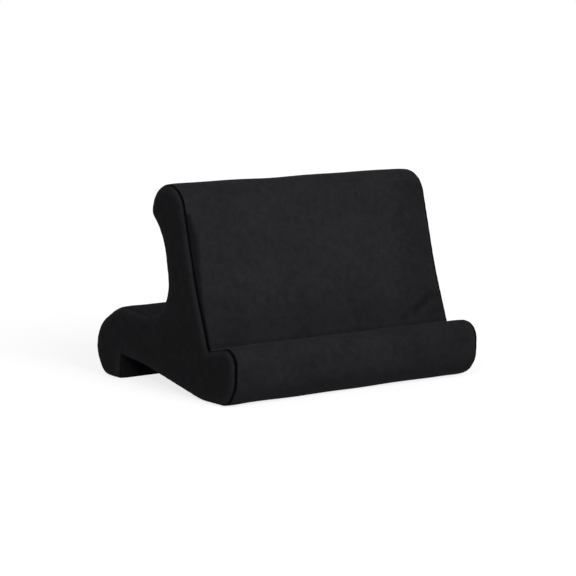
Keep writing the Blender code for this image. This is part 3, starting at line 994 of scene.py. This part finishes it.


# Over the rim the block's inset is radius - (radius - depth) * cos(turn). It sinks with the cover, and is
# relieved behind the zip, where painted shade darkens it so that it does not show between the teeth
def makeFoam():
    depth = foamBlock["underCover"]
    radius = foamBlock["rimRadius"] - depth
    half = halfWidth - foamBlock["rimRadius"]
    flat = np.linspace(-half, half, round(2 * half / foamBlock["columnSpacing"]) + 1)
    rim = np.linspace(0, np.pi / 2, 6)[1:]
    turn = np.concatenate([-rim[::-1], np.zeros(len(flat)), rim])
    x = np.concatenate([np.full(5, -half), flat, np.full(5, half)]) + radius * np.sin(turn)
    middle = (rowReach[slotRows[0]] + rowReach[slotRows[1]]) / 2
    fromZip = np.abs(rowReach - middle)
    start = foamBlock["reliefHalfWidth"]
    relief = foamBlock["reliefDepth"] * (1 - smoothStep(fromZip, start, start + foamBlock["reliefEase"]))
    columns = []
    for place, angle in zip(x, turn):
        outline, outward = outlineAt(foamBlock["rimRadius"] - radius * math.cos(angle))
        dip = restingDip(np.full((len(outline), 1), place), outline[:, 1:])[:, 0]
        sunk = (relief + dip) * (angle == 0) - plumpAt([place])[:, 0]
        columns.append(besideX(place, outline - outward * sunk[:, None]))
    points = np.stack(columns, axis=1)
    rows, count = points.shape[:2]
    allPoints = [points.reshape(-1, 3)]
    faces = [gridFaces(rows, count)]
    total = rows * count
    for side, column in ((-1, 0), (1, count - 1)):
        field, triangles = panelField(points[:, column, 1:])
        index = np.concatenate([np.arange(rows) * count + column, total + np.arange(len(field))])
        faces.append(index[triangles][:, ::side])
        allPoints.append(besideX(x[column], field))
        total += len(field)
    block = meshFrom("foamBlock", np.vstack(allPoints), faces, greyFoam)
    # Painted shade on the foam in the relief behind the zip
    paintedReliefShade = np.zeros(total)
    paintedReliefShade[: rows * count] = np.repeat(relief / foamBlock["reliefDepth"], count)
    storePaintedShading(block, paintedReliefShade)
    return block


foamPiece = makeFoam()
declare(foamPiece, "foam_core")
print("foam block cut")

# Zip pieces in the slot's own frame: x along it, y towards the rear, z into the cushion
archTop, ledgeRoot = (corners[cornerNames.index(name), :2] for name in ("archTop", "ledgeRoot"))
zipAlong = (ledgeRoot - archTop) / np.linalg.norm(ledgeRoot - archTop)
zipMiddle = ledgeRoot - zipAlong * zipSizes["fromLedge"] + (frontY, 0.0)


# Points of the slot's frame lie at middle + y * along + z * inwards, beside their x
def inSlotFrame(points):
    placed = np.empty_like(points)
    placed[..., 0] = points[..., 0]
    placed[..., 1] = zipMiddle[0] + points[..., 1] * zipAlong[0] - points[..., 2] * zipAlong[1]
    placed[..., 2] = zipMiddle[1] + points[..., 1] * zipAlong[1] + points[..., 2] * zipAlong[0]
    return placed


# Tubes in one mesh, each of rows of closed rings with a face at both ends, in the slot's frame
def meshTubes(name, rings, material):
    count, rows, columns = rings.shape[:3]
    k = np.arange(count)[:, None, None] * rows * columns
    i, j = np.arange(rows - 1)[:, None], np.arange(columns)
    low, high = k + i * columns, k + (i + 1) * columns
    after = (j + 1) % columns
    faces = np.stack([low + j, low + after, high + after, high + j], axis=-1)
    ends = [k[:, 0] + j[::-1], k[:, 0] + (rows - 1) * columns + j]
    made = meshFrom(name, inSlotFrame(rings), [faces, *ends], material)
    bm = bmesh.new()
    bm.from_mesh(made.data)
    bmesh.ops.recalc_face_normals(bm, faces=bm.faces)
    bm.to_mesh(made.data)
    bm.free()
    return made


# A ribbed ribbon with rounded edges along x; its UV map holds lengths
def makeTape(name, side):
    ribs, ribHeight = 7, 0.00004
    half, thickness = zipSizes["tapeWidth"] / 2, zipSizes["tapeThickness"] / 2
    angle = np.linspace(0, 2 * np.pi, 49)[:-1]
    across = half * np.sign(np.cos(angle)) * np.abs(np.cos(angle)) ** 0.5
    rise = thickness * np.sign(np.sin(angle)) * np.abs(np.sin(angle)) ** 0.25
    rise -= np.sign(rise) * ribHeight * (1 - np.cos(2 * np.pi * ribs * across / zipSizes["tapeWidth"]))
    x = np.linspace(-zipSizes["tapeHalfLength"], zipSizes["tapeHalfLength"], 136)
    points = np.zeros((len(x), len(angle), 3))
    points[:, :, 0] = x[:, None]
    points[:, :, 1] = side * (zipSizes["tapeGap"] / 2 + half) + across
    points[:, :, 2] = zipSizes["tapeFace"] + thickness + rise
    tape = meshTubes(name, points[None], wovenTape)
    uv = tape.data.uv_layers.new(name="lengths")
    corner = np.empty(len(tape.data.loops), dtype=int)
    tape.data.loops.foreach_get("vertex_index", corner)
    uv.data.foreach_set("uv", points.reshape(-1, 3)[corner][:, :2].ravel())
    return tape


# A flattened coil: a round wire carried along a line that goes round an ellipse once a pitch
def makeCoil(name, side):
    coil = {"pitch": 0.0013, "wire": 0.00026, "tip": 0.00035, "outer": 0.0031, "height": 0.0012}
    length = 2 * zipSizes["tapeHalfLength"] - 2 * coil["wire"]
    turns = int(length / coil["pitch"])
    t = np.arange(turns * 12 + 1) / 12
    angle = 2 * np.pi * t + (0 if side < 0 else np.pi)
    halfY = (coil["outer"] - coil["tip"]) / 2 - coil["wire"]
    halfZ = coil["height"] / 2 - coil["wire"]
    middleY = (coil["outer"] + coil["tip"]) / 2
    line = np.zeros((len(t), 3))
    line[:, 0] = -length / 2 + t * coil["pitch"]
    line[:, 1] = side * middleY + halfY * np.cos(angle)
    line[:, 2] = coil["height"] / 2 + halfZ * np.sin(angle)
    tangent = np.gradient(line, axis=0)
    tangent /= np.linalg.norm(tangent, axis=1, keepdims=True)
    radial = np.stack([np.zeros(len(t)), np.cos(angle) / halfY, np.sin(angle) / halfZ], axis=1)
    radial -= tangent * (radial * tangent).sum(axis=1, keepdims=True)
    radial /= np.linalg.norm(radial, axis=1, keepdims=True)
    other = np.cross(tangent, radial)
    return meshTubes(name, ringsRound(line, radial, other, coil["wire"], 5)[None], blackNylon)


# Rings of points round a line: line + radius * (cos a * first + sin a * second)
def ringsRound(line, first, second, radius, sides):
    a = np.linspace(0, 2 * np.pi, sides + 1)[:-1, None]
    return line[..., None, :] + radius * (np.cos(a) * first[..., None, :] + np.sin(a) * second[..., None, :])


# The band's depth along the slot, (z - middle) * along - (y - middle) * up, read off its nearest row
def bandDepth(x, across):
    fromMiddle = bandPoints[onZipStraight][:, :, 1:] - zipMiddle
    depth = fromMiddle[:, :, 1] * zipAlong[0] - fromMiddle[:, :, 0] * zipAlong[1]
    place = (fromMiddle @ zipAlong)[:, len(columnX) // 2]
    return np.interp(x, columnX, depth[np.abs(place - across).argmin()])


stitch = {
    "fromSlot": 0.0024,
    "pitch": 0.0033,
    "length": 0.0026,
    "radius": 0.0002,
    "rise": 0.0004,
    "sink": 0.0003,
}


# A row of stitches: arched threads, z = -rise * (1 - (2t - 1)^2) + sink, a pitch apart
def makeStitches(name, side):
    t = np.linspace(0, 1, 6)
    count = int(2 * zipSizes["slotHalfLength"] / stitch["pitch"])
    starts = (np.arange(count) - (count - 1) / 2) * stitch["pitch"] - stitch["length"] / 2
    line = np.zeros((count, len(t), 3))
    line[:, :, 0] = starts[:, None] + t * stitch["length"]
    line[:, :, 1] = side * (zipSizes["slotWidth"] / 2 + stitch["fromSlot"])
    line[:, :, 2] = stitch["sink"] - stitch["rise"] * (1 - (2 * t - 1) ** 2)
    line[:, :, 2] += bandDepth(line[:, :, 0], line[0, 0, 1])
    across, inwards = np.eye(3)[1:]
    return meshTubes(name, ringsRound(line, across, inwards, stitch["radius"], 6), sewingThread)


threadLook = dict(tapeLook, dark=(0.012, 0.012, 0.013), light=(0.024, 0.024, 0.026), roughness=(0.5, 0.65))
sewingThread = mottledMaterial("sewingThread", threadLook)
for side, word in ((-1, "Front"), (1, "Rear")):
    declare(makeTape("zipTape" + word, side), "zip_tape_" + word.lower())
    declare(makeCoil("zipCoil" + word, side), "zip_coil_" + word.lower())
    stitches = makeStitches("slotStitches" + word, side)
    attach(stitches, "cushion")
print("zip laid: tapes, coils and stitches")


# A copy of a CAD piece with its triangles merged into plain faces and every edge eased
def easedCopy(node, name, body, easing):
    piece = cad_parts[node].copy()
    piece.data = piece.data.copy()
    piece.name = name
    scene.collection.objects.link(piece)
    bm = bmesh.new()
    bm.from_mesh(piece.data)
    bmesh.ops.remove_doubles(bm, verts=bm.verts, dist=0.000002)
    bmesh.ops.dissolve_limit(bm, angle_limit=math.radians(3), verts=bm.verts, edges=bm.edges)
    bmesh.ops.recalc_face_normals(bm, faces=bm.faces)
    bm.to_mesh(piece.data)
    bm.free()
    piece.data.shade_smooth()
    piece.data.materials.clear()
    piece.data.materials.append(darkZinc)
    bevel = piece.modifiers.new("eased edges", "BEVEL")
    bevel.width = easing
    bevel.segments = 2
    bevel.limit_method = "ANGLE"
    bevel.angle_limit = math.radians(30)
    bevel.harden_normals = True
    declare(piece, node, body)


easedCopy("zip_slider", "zipSlider", "slider", 0.00012)
easedCopy("zip_pull", "zipPull", "pull", 0.00015)
print("slider and pull finished")

# Plain studio with a white surround
studio = {
    "surround": 0.15,
    "floorSize": 14.0,
    "floorColour": (0.35, 0.35, 0.35),
    "floorLift": 0.80,
}


# Broad soft key from the front and weaker light from the upper left: where from, spread in degrees, strength
lights = {
    "keyLight": ((0.10, -2.65, 1.17), 30.0, 2.28),
    "fillLight": ((-1.9, -1.6, 1.9), 15.0, 0.75),
}
for name, (source, spread, strength) in lights.items():
    lampData = bpy.data.lights.new(name, "SUN")
    lampData.angle = math.radians(spread)
    lampData.energy = strength
    lamp = newObject(name, lampData)
    lamp.rotation_euler = (-Vector(source)).to_track_quat("-Z", "Y").to_euler()


# One shader for the camera, gloss and glass, and a plain one for every other ray
def showToEye(tree, plain, seen, output):
    path = addNode(tree, "LightPath")
    byEye = path.outputs["Is Camera Ray"]
    for name in ("Is Glossy Ray", "Is Transmission Ray"):
        byEye = computed(tree, "MAXIMUM", byEye, path.outputs[name])
    mix = addNode(tree, "MixShader", {0: byEye, 1: plain.outputs[0], 2: seen.outputs[0]})
    feed(tree, tree.nodes[output].inputs["Surface"], mix.outputs[0])


def makeWorld():
    world = bpy.data.worlds.new("softRoom")
    world.use_nodes = True
    tree = world.node_tree
    room = tree.nodes["Background"]
    room.inputs["Color"].default_value = (1, 1, 1, 1)
    room.inputs["Strength"].default_value = studio["surround"]
    white = addNode(tree, "Background", {"Color": (1, 1, 1, 1), "Strength": 1.0})
    showToEye(tree, room, white, "World Output")
    scene.world = world


# A pale floor that looks white to the camera and still takes the cushion's shadow
def makeFloor():
    half = studio["floorSize"] / 2
    material = bpy.data.materials.new("paleFloor")
    material.use_nodes = True
    tree = material.node_tree
    shader = tree.nodes["Principled BSDF"]
    shader.inputs["Base Color"].default_value = (*studio["floorColour"], 1)
    shader.inputs["Roughness"].default_value = 0.9
    shader.inputs["Specular IOR Level"].default_value = 0.1
    glow = addNode(tree, "Emission", {"Color": (1, 1, 1, 1), "Strength": studio["floorLift"]})
    both = addNode(tree, "AddShader", {0: shader.outputs[0], 1: glow.outputs[0]})
    showToEye(tree, shader, both, "Material Output")
    points = np.array([[-1, -1, 0], [1, -1, 0], [1, 1, 0], [-1, 1, 0]]) * half - (0, 0, 0.0003)
    floor = meshFrom("floor", points, [np.array([[0, 1, 2, 3]])], material)


makeWorld()
makeFloor()

# Camera fitted to the photograph, looking a little down from the front left
cameraView = {"place": (-1.1728, -1.5921, 0.3571), "yaw": 36.448, "pitch": 7.876, "lens": 131.1}
cameraData = bpy.data.cameras.new("camera")
cameraData.sensor_width = 36.0
cameraData.lens = cameraView["lens"]
camera = newObject("camera", cameraData)
camera.location = cameraView["place"]
camera.rotation_euler = (math.radians(90 - cameraView["pitch"]), 0.0, -math.radians(cameraView["yaw"]))
scene.camera = camera
scene.view_settings.view_transform = "Standard"
print("studio and camera ready")
